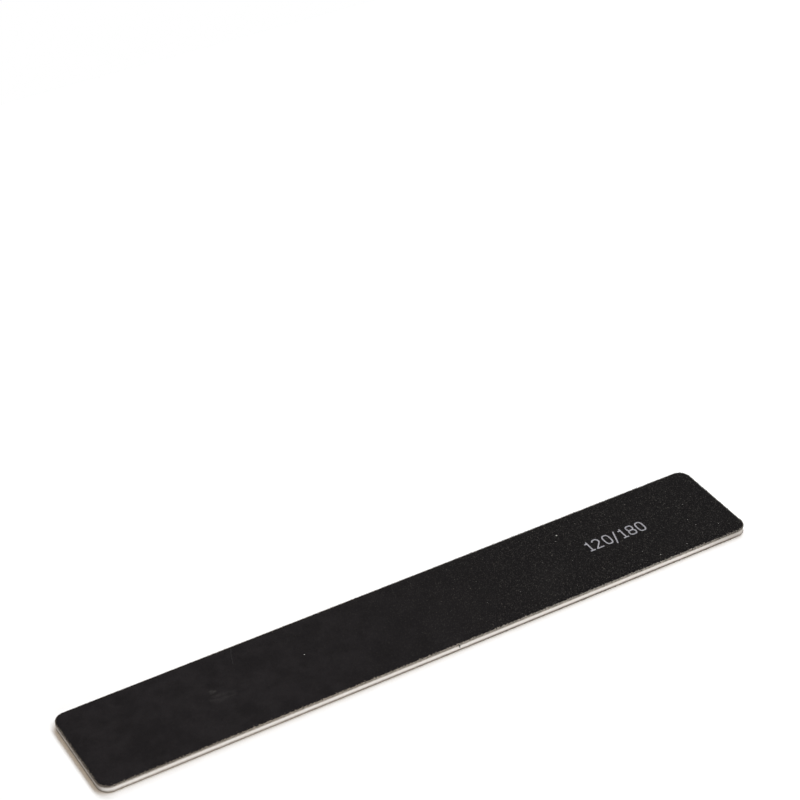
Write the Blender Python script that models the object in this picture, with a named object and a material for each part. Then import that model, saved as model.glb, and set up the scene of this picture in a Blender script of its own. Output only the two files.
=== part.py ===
"""Two-sided nail file: a straight cushioned board, built as the bonded stack of sheets that it is.

Metres, +Z up. The length lies along X and the width along Y. The origin is at the middle of the
face that the board rests on. The coarse side is up, and its printed grades read from the front.
"""

import math

import bmesh
import bpy

# Outline of the board
LENGTH = 0.178
WIDTH = 0.028
CORNER_RADIUS = 0.0031

# Thickness of each sheet of the stack
CORE_THICKNESS = 0.0006
CORE_ADHESIVE_THICKNESS = 0.00005
FOAM_THICKNESS = 0.0004
PAPER_ADHESIVE_THICKNESS = 0.00005
PAPER_THICKNESS = 0.00018
COARSE_GRIT_THICKNESS = 0.00014
FINE_GRIT_THICKNESS = 0.0001
BOND_GAP = 0.00001

# The die that cuts the board presses its edges thinner, on both sides
ROLL_WIDTH = 0.001
UPPER_ROLL_DEPTH = 0.00025
LOWER_ROLL_DEPTH = 0.00015

# The printed grades, placed by the middle of the print and its distance from the right-hand end
DIGIT_HEIGHT = 0.0037
DIGIT_WIDTH = 0.00215
STROKE_WIDTH = 0.00034
INK_THICKNESS = 0.00005
PRINT_TO_END = 0.0309
PRINT_OFF_CENTRE = 0.0001
DIGIT_PITCH = 0.0026
SLASH_LEAN = 0.0014
SLASH_TAIL = 0.0007

# How the curved shapes are divided
CORNER_SEGMENTS = 8
ROLL_STEPS = 4
BOWL_SEGMENTS = 24

# The shape of the rolled edge and of the strokes, as shares of the sizes above
ROLL_POWER = 2.0
BOWL_SQUARENESS = 3.1
WAIST_HEIGHT_SHARE = 0.5
UPPER_BOWL_WIDTH_SHARE = 0.93
FLAG_DROP_SHARE = 0.13
FLAG_REACH_SHARE = 0.35
FOOT_REACH_SHARE = 0.34
TWO_START_ANGLE = math.radians(162)
GLYPH_PLACE_SHARES = (-2.89, -2.02, -0.84, 0.0, 0.96, 1.91, 2.99)

OBJECT_NAME = "nail_file"
GRIT_BLACK = (0.016, 0.015, 0.015, 1.0)
PAPER_CREAM = (0.72, 0.68, 0.62, 1.0)
FOAM_WHITE = (0.84, 0.82, 0.78, 1.0)
CORE_WHITE = (0.86, 0.85, 0.82, 1.0)
ADHESIVE_CLEAR = (0.80, 0.76, 0.64, 1.0)
INK_GREY = (0.36, 0.36, 0.40, 1.0)


def clear_scene():
    """Empties the scene that the script is run in."""
    for obj in list(bpy.data.objects):
        bpy.data.objects.remove(obj, do_unlink=True)


def new_collection(name):
    """A collection of this name in the scene."""
    collection = bpy.data.collections.new(name)
    bpy.context.scene.collection.children.link(collection)
    return collection


def new_material(name, colour, roughness):
    """A plain Principled material."""
    material = bpy.data.materials.new(name)
    material.use_nodes = True
    shader = material.node_tree.nodes["Principled BSDF"]
    shader.inputs["Base Color"].default_value = colour
    shader.inputs["Roughness"].default_value = roughness
    shader.inputs["Metallic"].default_value = 0.0
    material.diffuse_color = colour
    return material


def mesh_object(name, bm, material, collection):
    """An object that holds this bmesh, which is used up."""
    mesh = bpy.data.meshes.new(name)
    bm.to_mesh(mesh)
    bm.free()
    mesh.materials.append(material)
    obj = bpy.data.objects.new(name, mesh)
    collection.objects.link(obj)
    return obj


def edge_distance(point):
    """How far inside the rounded outline a point of the board lies."""
    past_x = abs(point.x) - (LENGTH / 2 - CORNER_RADIUS)
    past_y = abs(point.y) - (WIDTH / 2 - CORNER_RADIUS)
    if past_x > 0 and past_y > 0:
        return CORNER_RADIUS - math.hypot(past_x, past_y)
    return CORNER_RADIUS - max(past_x, past_y)


def roll_share(point):
    """How much of the roll's full depth is reached at a point: all of it on the cut edge, none inside."""
    inside = min(max(edge_distance(point) / ROLL_WIDTH, 0.0), 1.0)
    return (1.0 - inside) ** ROLL_POWER


def board_outline(roll_steps):
    """A flat rounded rectangle as a bmesh, with a narrow ring of faces for each step of the roll."""
    bm = bmesh.new()
    bmesh.ops.create_grid(bm, x_segments=1, y_segments=1, size=0.5)
    bmesh.ops.scale(bm, vec=(LENGTH, WIDTH, 1.0), verts=bm.verts)
    bmesh.ops.bevel(
        bm,
        geom=list(bm.verts),
        offset=CORNER_RADIUS,
        offset_type="OFFSET",
        affect="VERTICES",
        segments=CORNER_SEGMENTS,
        profile=0.5,
        material=-1,
    )
    for _ in range(roll_steps):
        middle = max(bm.faces, key=lambda face: face.calc_area())
        step = ROLL_WIDTH / roll_steps
        bmesh.ops.inset_region(bm, faces=[middle], thickness=step, use_boundary=True, use_even_offset=True)
    return bm


def sheet(name, low, thickness, material, collection, low_roll=0.0, high_roll=0.0):
    """One sheet of the stack, from height low up, whose two faces sink by their rolls at the cut edge."""
    bm = board_outline(ROLL_STEPS if low_roll or high_roll else 0)
    top_faces = list(bm.faces)
    extruded = bmesh.ops.extrude_face_region(bm, geom=top_faces, use_keep_orig=True)["geom"]
    bottom = {element for element in extruded if isinstance(element, bmesh.types.BMVert)}
    for vert in bm.verts:
        if vert in bottom:
            vert.co.z = low - low_roll * roll_share(vert.co)
        else:
            vert.co.z = low + thickness - high_roll * roll_share(vert.co)
    bmesh.ops.recalc_face_normals(bm, faces=bm.faces)
    return mesh_object(name, bm, material, collection)


def stack_of_sheets(parts):
    """Builds every sheet from the resting face up, and returns the height of the upper face."""
    grit = new_material("black_grit", GRIT_BLACK, 0.85)
    paper = new_material("backing_paper", PAPER_CREAM, 0.9)
    adhesive = new_material("adhesive_film", ADHESIVE_CLEAR, 0.3)
    foam = new_material("cushion_foam", FOAM_WHITE, 0.95)
    core = new_material("core_plastic", CORE_WHITE, 0.45)
    up, down = UPPER_ROLL_DEPTH, -LOWER_ROLL_DEPTH
    sheets = (
        ("lower_grit_coat", FINE_GRIT_THICKNESS, grit, down, down),
        ("lower_backing_paper", PAPER_THICKNESS, paper, down, down),
        ("lower_paper_adhesive", PAPER_ADHESIVE_THICKNESS, adhesive, down, down),
        ("lower_foam_cushion", FOAM_THICKNESS, foam, down, 0.0),
        ("lower_core_adhesive", CORE_ADHESIVE_THICKNESS, adhesive, 0.0, 0.0),
        ("core_strip", CORE_THICKNESS, core, 0.0, 0.0),
        ("upper_core_adhesive", CORE_ADHESIVE_THICKNESS, adhesive, 0.0, 0.0),
        ("upper_foam_cushion", FOAM_THICKNESS, foam, 0.0, up),
        ("upper_paper_adhesive", PAPER_ADHESIVE_THICKNESS, adhesive, up, up),
        ("upper_backing_paper", PAPER_THICKNESS, paper, up, up),
        ("upper_grit_coat", COARSE_GRIT_THICKNESS, grit, up, up),
    )
    height = 0.0
    for name, thickness, material, low_roll, high_roll in sheets:
        sheet(name, height, thickness, material, parts, low_roll, high_roll)
        height += thickness + BOND_GAP
    return height - BOND_GAP


def bowl(centre_y, half_width, half_height):
    """The closed centre line of a round stroke, a little squarer than an ellipse."""
    points = []
    for step in range(BOWL_SEGMENTS):
        angle = 2 * math.pi * step / BOWL_SEGMENTS
        across, along = math.cos(angle), math.sin(angle)
        x = math.copysign(abs(across) ** (2 / BOWL_SQUARENESS), across)
        y = math.copysign(abs(along) ** (2 / BOWL_SQUARENESS), along)
        points.append((half_width * x, centre_y + half_height * y))
    return points


def zero_strokes():
    """One closed bowl of the full height."""
    return [(bowl(0.0, (DIGIT_WIDTH - STROKE_WIDTH) / 2, (DIGIT_HEIGHT - STROKE_WIDTH) / 2), True)]


def eight_strokes():
    """A lower bowl and a narrower upper one, which share the stroke at the waist."""
    line_height = DIGIT_HEIGHT - STROKE_WIDTH
    lower_half = line_height * WAIST_HEIGHT_SHARE / 2
    upper_half = line_height / 2 - lower_half
    half_width = (DIGIT_WIDTH - STROKE_WIDTH) / 2
    return [
        (bowl(lower_half - line_height / 2, half_width, lower_half), True),
        (bowl(line_height / 2 - upper_half, half_width * UPPER_BOWL_WIDTH_SHARE, upper_half), True),
    ]


def one_strokes():
    """A stem with a flag at its top left and a foot under it."""
    top, bottom = DIGIT_HEIGHT / 2, -DIGIT_HEIGHT / 2
    foot = bottom + STROKE_WIDTH / 2
    flag = top - STROKE_WIDTH / 2 - DIGIT_HEIGHT * FLAG_DROP_SHARE
    reach = DIGIT_WIDTH * FOOT_REACH_SHARE
    return [
        ([(0.0, foot), (0.0, top)], False),
        ([(-reach, foot), (reach, foot)], False),
        ([(-DIGIT_WIDTH * FLAG_REACH_SHARE, flag), (0.0, flag)], False),
    ]


def two_strokes():
    """A round top that runs into a straight diagonal, and a base bar."""
    radius = (DIGIT_WIDTH - STROKE_WIDTH) / 2
    centre_y = DIGIT_HEIGHT / 2 - STROKE_WIDTH / 2 - radius
    base = -DIGIT_HEIGHT / 2 + STROKE_WIDTH / 2
    corner_x, corner_y = -radius, base - centre_y
    toward_corner = math.atan2(corner_y, corner_x)
    end_angle = toward_corner + math.acos(radius / math.hypot(corner_x, corner_y))
    points = []
    for step in range(BOWL_SEGMENTS):
        angle = TWO_START_ANGLE + (end_angle - TWO_START_ANGLE) * step / (BOWL_SEGMENTS - 1)
        points.append((radius * math.cos(angle), centre_y + radius * math.sin(angle)))
    points.append((-radius, base))
    half_width = DIGIT_WIDTH / 2
    return [(points, False), ([(-half_width, base), (half_width, base)], False)]


def slash_strokes():
    """One leaning stroke, whose tail runs below the digits."""
    low = -DIGIT_HEIGHT / 2 - SLASH_TAIL
    return [([(-SLASH_LEAN / 2, low), (SLASH_LEAN / 2, DIGIT_HEIGHT / 2)], False)]


def stroke_sides(path, closed):
    """The two lines that run along a centre line, half a stroke to its left and to its right."""
    count = len(path)
    left, right = [], []
    for index, (x, y) in enumerate(path):
        before = path[index - 1] if closed or index > 0 else path[index]
        after = path[(index + 1) % count] if closed or index < count - 1 else path[index]
        along_x, along_y = after[0] - before[0], after[1] - before[1]
        run = math.hypot(along_x, along_y)
        off_x, off_y = -along_y / run * STROKE_WIDTH / 2, along_x / run * STROKE_WIDTH / 2
        left.append((x + off_x, y + off_y))
        right.append((x - off_x, y - off_y))
    return left, right


def stroke_object(name, path, closed, material, collection):
    """One stroke of ink as a closed mesh, made from a filled flat curve."""
    curve = bpy.data.curves.new(name, "CURVE")
    curve.dimensions = "2D"
    curve.fill_mode = "BOTH"
    curve.extrude = INK_THICKNESS / 2
    left, right = stroke_sides(path, closed)
    for outline in ([left, right] if closed else [left + right[::-1]]):
        spline = curve.splines.new("POLY")
        spline.points.add(len(outline) - 1)
        for point, (x, y) in zip(spline.points, outline):
            point.co = (x, y, 0.0, 1.0)
        spline.use_cyclic_u = True
    flat = bpy.data.objects.new(name + "_outline", curve)
    collection.objects.link(flat)
    bpy.context.view_layer.update()
    filled = bpy.data.meshes.new_from_object(flat.evaluated_get(bpy.context.evaluated_depsgraph_get()))
    bpy.data.objects.remove(flat, do_unlink=True)
    bm = bmesh.new()
    bm.from_mesh(filled)
    bpy.data.meshes.remove(filled)
    bmesh.ops.remove_doubles(bm, verts=bm.verts, dist=BOND_GAP / 10)
    bmesh.ops.recalc_face_normals(bm, faces=bm.faces)
    return mesh_object(name, bm, material, collection)


def printed_glyph(name, strokes, x, z, material, parts, cutters):
    """One printed character: its strokes joined into one thin solid, with its place at x."""
    glyph = None
    for index, (path, closed) in enumerate(strokes):
        collection = cutters if glyph else parts
        stroke = stroke_object(f"{name}_stroke_{index}" if glyph else name, path, closed, material, collection)
        stroke.location = (x, PRINT_OFF_CENTRE, z)
        if glyph is None:
            glyph = stroke
            continue
        stroke.hide_render = True
        stroke.display_type = "WIRE"
        join = glyph.modifiers.new(f"join_{index}", "BOOLEAN")
        join.operation = "UNION"
        join.object = stroke
    return glyph


def printed_grades(face_height, parts, cutters):
    """The grade of each side, coarse first, with a slash between them."""
    ink = new_material("printed_ink", INK_GREY, 0.6)
    glyphs = (
        ("print_coarse_one", one_strokes()),
        ("print_coarse_two", two_strokes()),
        ("print_coarse_zero", zero_strokes()),
        ("print_slash", slash_strokes()),
        ("print_fine_one", one_strokes()),
        ("print_fine_eight", eight_strokes()),
        ("print_fine_zero", zero_strokes()),
    )
    middle = LENGTH / 2 - PRINT_TO_END
    height = face_height + BOND_GAP + INK_THICKNESS / 2
    for (name, strokes), place_share in zip(glyphs, GLYPH_PLACE_SHARES):
        printed_glyph(name, strokes, middle + DIGIT_PITCH * place_share, height, ink, parts, cutters)


def main():
    """Builds the whole file."""
    clear_scene()
    parts = new_collection(OBJECT_NAME)
    cutters = new_collection(OBJECT_NAME + "_cutters")
    face_height = stack_of_sheets(parts)
    printed_grades(face_height, parts, cutters)


if __name__ == "__main__":
    main()
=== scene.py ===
"""Looks of a two-sided nail file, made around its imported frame: grit, cut edges, print, wear and light.

Lengths are metres. The board lies along X on the plane z = 0, with its coarse, printed side up.
"""

import logging
import math
from collections.abc import Callable, Mapping, Sequence
from dataclasses import dataclass
from enum import Enum
from functools import cached_property
from typing import Any

import bmesh
import bpy
import numpy as np
from mathutils import Matrix, Vector, noise


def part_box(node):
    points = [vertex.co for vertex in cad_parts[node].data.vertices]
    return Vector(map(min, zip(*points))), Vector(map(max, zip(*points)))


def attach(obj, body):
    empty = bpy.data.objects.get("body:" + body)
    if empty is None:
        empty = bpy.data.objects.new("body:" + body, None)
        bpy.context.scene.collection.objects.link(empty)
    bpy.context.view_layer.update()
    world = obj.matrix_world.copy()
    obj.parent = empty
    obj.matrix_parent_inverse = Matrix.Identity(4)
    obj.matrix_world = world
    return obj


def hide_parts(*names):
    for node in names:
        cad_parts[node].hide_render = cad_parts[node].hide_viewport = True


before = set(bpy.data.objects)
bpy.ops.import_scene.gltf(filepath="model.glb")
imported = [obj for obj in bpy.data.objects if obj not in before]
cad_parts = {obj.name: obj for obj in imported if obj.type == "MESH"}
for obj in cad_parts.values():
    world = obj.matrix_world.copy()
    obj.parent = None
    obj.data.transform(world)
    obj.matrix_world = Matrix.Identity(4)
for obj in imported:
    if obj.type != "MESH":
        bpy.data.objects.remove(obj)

Point = tuple[float, float, float]
Colour = tuple[float, float, float]
Span = tuple[float, float]
Smudge = tuple[float, float, float, float, float]
Input = Any
Array = np.ndarray
Shape = bmesh.types.BMesh
Mesh = bpy.types.Mesh
Piece = bpy.types.Object
Material = bpy.types.Material

MM = 0.001
BODY = "root"
PICTURE_SIDE = 800
ON_RIM = 1e-3 * MM
TABLE_GAP = 0.01 * MM
LIP_HEIGHT = 0.14 * MM
NOISE_SHIFT = 17.31

USED_TO_FRESH: Span = (-45 * MM, 50 * MM)
SPARED_TO_WORN: Span = (-78 * MM, -40 * MM)
SHADED_LEFT_END: Span = (-88.2 * MM, -88.9 * MM)
RIGHT_END_SPAN: Span = (66 * MM, 86 * MM)
RUBBED_FOOT: Span = (40 * MM, -80 * MM)
RUBBED_TIP: Span = (80 * MM, 88 * MM)

# Painted shade: the brown-black that darkens the left end's cut, which lies in shade.
LEFT_END_SHADE: Colour = (0.22, 0.13, 0.06)
# The grey that the cut grows darker with towards the right-hand end.
RIGHT_END_GREY: Colour = (0.20, 0.17, 0.14)
BROWNED_RIM: Colour = (0.32, 0.27, 0.215)
CLOGGED_RESIN: Colour = (0.0138, 0.0122, 0.0128)
SMUDGES: tuple[Smudge, ...] = (
    (-52.2 * MM, -0.9 * MM, 4.4 * MM, 2.0 * MM, 0.075),
    (-53.6 * MM, 1.8 * MM, 1.3 * MM, 0.9 * MM, 0.20),
)

log = logging.getLogger("nail_file")


def math_node(operation: str, swapped: bool = False) -> Callable[..., "Signal"]:
    """Makes a method of Signal that adds a Math node.

    Args:
        operation: The node's operation.
        swapped: Whether the other value comes first.

    Returns:
        The method.
    """

    def method(signal: "Signal", other: Input = 0.0) -> "Signal":
        """Joins the signal with another value."""
        first, second = (other, signal) if swapped else (signal, other)
        return signal.finish.node("ShaderNodeMath", {"operation": operation}, {0: first, 1: second})

    return method


class Signal:
    """One output of a finish's node tree, which can be used in arithmetic."""

    def __init__(self, finish: "FinishTree", socket: bpy.types.NodeSocket) -> None:
        """Wraps one output socket of a tree."""
        self.finish = finish
        self.socket = socket

    __add__ = math_node("ADD")
    __radd__ = math_node("ADD", swapped=True)
    __sub__ = math_node("SUBTRACT")
    __rsub__ = math_node("SUBTRACT", swapped=True)
    __mul__ = math_node("MULTIPLY")
    __rmul__ = math_node("MULTIPLY", swapped=True)
    __truediv__ = math_node("DIVIDE")
    __rtruediv__ = math_node("DIVIDE", swapped=True)
    __pow__ = math_node("POWER")
    __rpow__ = math_node("POWER", swapped=True)
    at_most = math_node("MINIMUM")
    at_least = math_node("MAXIMUM")
    magnitude = math_node("ABSOLUTE")

    def rise(self, low: float, high: float) -> "Signal":
        """A smooth step from 0 where the value is low to 1 where it is high. High may lie below low."""
        sockets = {"Value": self, "From Min": low, "From Max": high}
        return self.finish.node("ShaderNodeMapRange", {"interpolation_type": "SMOOTHSTEP"}, sockets)


class FinishTree:
    """The node tree of one finish."""

    def __init__(self, name: str, world: bpy.types.World | None = None) -> None:
        """Starts an empty tree.

        Args:
            name: The finish's name.
            world: The world to dress, where the tree isn't a material's.
        """
        self.material = None if world else bpy.data.materials.new(name)
        owner = world or self.material
        owner.use_nodes = True
        self.tree = owner.node_tree
        self.tree.nodes.clear()

    def node(
        self,
        kind: str,
        settings: Mapping[str, Any] | None = None,
        sockets: Mapping[str | int, Input] | None = None,
        output: str | int = 0,
    ) -> Signal:
        """Adds one node.

        Args:
            kind: The node's type.
            settings: Its own properties, set first.
            sockets: Values or signals for its inputs, by name, identifier or number.
            output: The output to return, named in the same way.

        Returns:
            The signal of that output.
        """
        made = self.tree.nodes.new(kind)
        for key, value in (settings or {}).items():
            setattr(made, key, value)
        for key, value in (sockets or {}).items():
            target = self._socket(made.inputs, key)
            if isinstance(value, Signal):
                self.tree.links.new(value.socket, target)
            else:
                target.default_value = (*value, 1.0) if target.type == "RGBA" else value
        return Signal(self, self._socket(made.outputs, output))

    @staticmethod
    def _socket(sockets: Sequence[bpy.types.NodeSocket], key: str | int) -> bpy.types.NodeSocket:
        """The first of a node's sockets with this number, name or identifier."""
        named = (socket for socket in sockets if key in (socket.name, socket.identifier))
        return sockets[key] if isinstance(key, int) else next(named)

    @cached_property
    def place(self) -> Signal:
        """The piece's own Object coordinates."""
        return self.node("ShaderNodeTexCoord", output="Object")

    def part_of(self, vector: Signal, axis: str) -> Signal:
        """One coordinate, X, Y or Z, of a vector."""
        return self.node("ShaderNodeSeparateXYZ", sockets={0: vector}, output=axis)

    def along(self, axis: str) -> Signal:
        """The piece's own coordinate X, Y or Z."""
        return self.part_of(self.place, axis)

    def attribute(self, name: str) -> Signal:
        """A value that the mesh holds under this name."""
        return self.node("ShaderNodeAttribute", {"attribute_name": name}, output="Fac")

    def cloud(
        self, size: float, detail: float = 3.0, roughness: float = 0.5, stretch: Point | None = None
    ) -> Signal:
        """Soft noise over the piece.

        Args:
            size: The length of its lumps.
            detail: How many finer layers it has.
            roughness: How strong those layers are.
            stretch: A scale for each axis, where the lumps aren't round.

        Returns:
            A value around 0.5.
        """
        vector = self.place
        if stretch:
            vector = self.node("ShaderNodeMapping", sockets={"Vector": vector, "Scale": stretch})
        sockets = {"Vector": vector, "Scale": 1.0 / size, "Detail": detail, "Roughness": roughness}
        return self.node("ShaderNodeTexNoise", sockets=sockets)

    def cells(self, size: float) -> Signal:
        """A random value from 0 to 1 for each cell of this size."""
        sockets = {"Vector": self.place, "Scale": 1.0 / size}
        return self.part_of(self.node("ShaderNodeTexVoronoi", sockets=sockets, output="Color"), "X")

    def blend(self, share: Input, first: Input, second: Input) -> Signal:
        """Mixes two colours. The share says how much of the second one shows, from 0 to 1."""
        sockets = {"Factor_Float": share, "A_Color": first, "B_Color": second}
        return self.node("ShaderNodeMix", {"data_type": "RGBA"}, sockets, "Result_Color")

    def bumps(self, height: Signal, depth: float) -> Signal:
        """The normal of a fine relief, from its height of 0 to 1 and its depth in metres."""
        return self.node("ShaderNodeBump", sockets={"Height": height, "Distance": depth})

    def surface(
        self, colour: Signal, roughness: Signal, gloss: float, normal: Signal | None = None
    ) -> Material:
        """Ends the tree with a Principled shader.

        Args:
            colour: Its base colour.
            roughness: Its roughness.
            gloss: Its specular level.
            normal: The normal of its relief, where it has one.

        Returns:
            The material.
        """
        sockets = {"Base Color": colour, "Roughness": roughness, "Specular IOR Level": gloss}
        if normal:
            sockets["Normal"] = normal
        return self.end(self.node("ShaderNodeBsdfPrincipled", sockets=sockets))

    def end(self, shader: Signal, kind: str = "ShaderNodeOutputMaterial") -> Material | None:
        """Ends the tree with its output node.

        Args:
            shader: The shader to show.
            kind: The output node's type.

        Returns:
            The material, where the tree is a material's.
        """
        made = self.tree.nodes.new(kind)
        self.tree.links.new(shader.socket, made.inputs["Surface"])
        return self.material


class BoardTree(FinishTree):
    """The node tree of a finish that use has changed along the board."""

    @cached_property
    def clean(self) -> Signal:
        """How clean the grains still are: 0.2 at the used left end and 1 at the right."""
        return self.along("X").rise(*USED_TO_FRESH) * 0.8 + 0.2

    @cached_property
    def right_end_darkening(self) -> Signal:
        """How much darker the cut grows towards the right-hand end: 1 there and 0 along the board."""
        reach = self.along("X").rise(*RIGHT_END_SPAN)
        return reach * reach

    @cached_property
    def rubbed(self) -> Signal:
        """How pale use has rubbed the foot of the cut: most at the left, a little at the right-hand end."""
        along = self.along("X")
        return along.rise(*RUBBED_FOOT).at_least(along.rise(*RUBBED_TIP) * 0.5)

    def greyed_and_shaded(self, colour: Signal) -> Signal:
        """A cut's colour, greyer towards the right-hand end, with painted shade on the cut of the shaded left
        end.
        """
        greyed = self.blend(self.right_end_darkening * 0.5, colour, RIGHT_END_GREY)
        # Painted shade: darkens and browns the cut at the left end, where it lies in shade.
        return self.blend(self.along("X").rise(*SHADED_LEFT_END) * 0.45, greyed, LEFT_END_SHADE)


def fresh_share(points: Array) -> Array:
    """How little each point's place along the board has been used, from 0 at the left to 1."""
    used_to, fresh_from = USED_TO_FRESH
    return ((points[:, 0] - used_to) / (fresh_from - used_to)).clip(0.0, 1.0)


def toned(colour: Colour, share: float) -> Colour:
    """A colour made lighter or darker."""
    return tuple(part * share for part in colour)


@dataclass(frozen=True)
class Finish:
    """What a piece is finished with."""

    name: str

    def make(self) -> Material:
        """Builds the finish as a material."""
        raise NotImplementedError


@dataclass(frozen=True)
class GritFinish(Finish):
    """Black abrasive in black resin: grains, worn rim and handling marks.

    A smudge of powder has its x and y, half its length and width, and how much powder it holds.
    """

    grain_size: float
    shiny_share: float
    rubbed: float = 0.0
    smudges: tuple[Smudge, ...] = ()
    resin: Colour = (0.0042, 0.0036, 0.0038)
    clogged: Colour = CLOGGED_RESIN
    grain: Colour = (0.055, 0.052, 0.046)
    worn: Colour = (0.34, 0.31, 0.27)
    dust: Colour = (0.20, 0.19, 0.18)

    def make(self) -> Material:
        """Builds the finish: resin with shiny grains, then the worn rim, then powder."""
        tree = BoardTree(self.name)
        cells = tree.cells(self.grain_size)
        bright = cells.rise(1.0 - self.shiny_share, 1.0) * tree.clean
        patches = tree.cloud(9 * MM, detail=2.0) * 0.9 + 0.25
        # Painted sheen: cloudy patches where the clogged resin at the used end is made half as light again.
        sheen = tree.cloud(4.5 * MM, detail=4.0, roughness=0.6).rise(0.3, 0.7)
        clogged = tree.blend(sheen, self.clogged, toned(self.clogged, 1.5))
        colour = tree.blend(bright * patches, tree.blend(tree.clean, clogged, self.resin), self.grain)
        colour = tree.blend(self._wear(tree), colour, tree.blend(tree.clean, BROWNED_RIM, self.worn))
        colour = tree.blend(self._powder(tree), colour, self.dust)
        matt = (cells * 0.25 + 0.85 - tree.clean * 0.3 - bright * 0.3).at_least(0.2).at_most(1.0)
        relief = tree.cloud(0.06 * MM, detail=2.0, roughness=0.6) * tree.clean
        return tree.surface(colour, matt, gloss=0.03, normal=tree.bumps(relief, 0.012 * MM))

    def _wear(self, tree: BoardTree) -> Signal:
        """How far the rim is worn down to the paper.

        Args:
            tree: The finish's tree.

        Returns:
            A value from 0 to 1.
        """
        rim = tree.attribute("rim")
        fray = tree.cloud(0.42 * MM, detail=5.0, roughness=0.75)
        wear = (rim * rim * 0.42 + rim * 0.06 + fray * 1.5 - 0.75).rise(0.16, 0.36)
        wear = wear * rim.rise(0.02, 0.2).at_least(tree.clean * tree.clean * 0.7)
        wear = wear * (1.0 - tree.right_end_darkening * 0.45)
        wear = wear * (tree.along("X").rise(*SPARED_TO_WORN) * 0.5 + 0.5)
        return wear.at_least(rim * tree.rubbed * self.rubbed)

    def _powder(self, tree: BoardTree) -> Signal:
        """How much pale nail powder has stayed on the grit.

        Args:
            tree: The finish's tree.

        Returns:
            A value from 0 to 1.
        """
        streaks = tree.cloud(1.5 * MM, stretch=(1.0, 1.6, 1.0)).rise(0.3, 0.8)
        total = tree.cloud(24 * MM).rise(0.58, 0.86) * 0.02
        for x, y, half_length, half_width, share in self.smudges:
            across = (tree.along("X") - x) / half_length
            upward = (tree.along("Y") - y) / half_width
            reach = (across * across + upward * upward).rise(1.0, 0.1)
            total = total + reach * streaks * share
        return total.at_most(1.0)


@dataclass(frozen=True)
class CrystalFinish(Finish):
    """Loose grains of abrasive, each with a tone of its own."""

    dark: Colour
    light: Colour
    clogged: Colour
    roughness: float

    def make(self) -> Material:
        """Builds the finish from its colours."""
        tree = BoardTree(self.name)
        tone = tree.attribute("tone")
        crystal = tree.blend(tone * tone * tone, self.dark, self.light)
        scuffs = tree.cloud(0.08 * MM, detail=2.0)
        fresh_matt = (scuffs * 0.3 + (self.roughness - 0.15)).at_least(0.05)
        matt = (fresh_matt - 0.95) * tree.clean + 0.95
        return tree.surface(tree.blend(tree.clean, self.clogged, crystal), matt, gloss=0.02)


@dataclass(frozen=True)
class PaperFinish(Finish):
    """Backing paper, stained by the resin on its grit side."""

    stain_between: Span
    rubbed: float
    right_end_darkening: float
    paper: Colour = (0.62, 0.55, 0.48)
    stain: Colour = (0.06, 0.05, 0.042)

    def make(self) -> Material:
        """Builds the finish, with the stain between two heights."""
        tree = BoardTree(self.name)
        fibres = tree.cloud(0.28 * MM, detail=4.0, roughness=0.6, stretch=(1.0, 1.0, 7.0))
        blots = tree.cloud(0.5 * MM, detail=5.0, roughness=0.75)
        height = tree.along("Z") + (fibres * 0.6 + blots * 1.6 - 1.1) * (0.42 * MM)
        soaked = height.rise(*self.stain_between) * (1.0 - tree.rubbed * self.rubbed)
        soaked = (soaked + tree.right_end_darkening * self.right_end_darkening).at_most(1.0)
        pale = tree.blend(fibres.rise(0.35, 0.75), self.paper, toned(self.paper, 0.86))
        colour = tree.blend(soaked, pale, self.stain)
        return tree.surface(colour, fibres * 0.2 + 0.75, gloss=0.2, normal=tree.bumps(fibres, 0.02 * MM))


@dataclass(frozen=True)
class FoamFinish(Finish):
    """Closed-cell foam, with painted shade in the cells that its cut opens, darkest at their deepest."""

    soot_between: Span
    wall: Colour = (0.88, 0.84, 0.80)
    painted_cell_shade: Colour = (0.66, 0.60, 0.54)
    soot: Colour = (0.20, 0.17, 0.14)
    cell: float = 0.12 * MM

    def make(self) -> Material:
        """Builds the finish, with black dust from the cut between two heights."""
        tree = BoardTree(self.name)
        skin = tree.cloud(self.cell)
        blotch = tree.cloud(1.8 * MM, detail=4.0, roughness=0.55).rise(0.5, 0.85)
        # Painted shade in the cut cells by their depth, with random blotches and skin tone on top.
        cell_shade_and_blotches = (tree.attribute("pit") * 0.8 + blotch * 0.35 + skin * 0.12).at_most(1.0)
        specks = tree.cloud(0.22 * MM, detail=4.0, roughness=0.7)
        height = tree.along("Z") + (specks - 0.5) * (0.5 * MM)
        dusty = height.rise(*self.soot_between) * 0.85
        colour = tree.greyed_and_shaded(tree.blend(dusty, tree.blend(cell_shade_and_blotches, self.wall, self.painted_cell_shade), self.soot))
        return tree.surface(colour, skin * 0.25 + 0.68, gloss=0.3, normal=tree.bumps(skin, 0.01 * MM))


@dataclass(frozen=True)
class PlasticFinish(Finish):
    """The stiff core, with the upright scratches of the die on its cut."""

    plastic: Colour = (0.86, 0.81, 0.765)
    whitened: Colour = (0.92, 0.89, 0.86)

    def make(self) -> Material:
        """Builds the finish from its two colours."""
        tree = BoardTree(self.name)
        scratches = tree.cloud(0.14 * MM, detail=4.0, roughness=0.7, stretch=(1.0, 1.0, 0.06))
        stressed = tree.cloud(2.6 * MM).rise(0.45, 0.7)
        share = (scratches.rise(0.4, 0.7) * 0.6 + stressed * 0.4).at_most(1.0)
        colour = tree.greyed_and_shaded(tree.blend(share, self.plastic, self.whitened))
        relief = tree.bumps(scratches, 0.012 * MM)
        return tree.surface(colour, scratches * 0.3 + 0.3, gloss=0.45, normal=relief)


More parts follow.
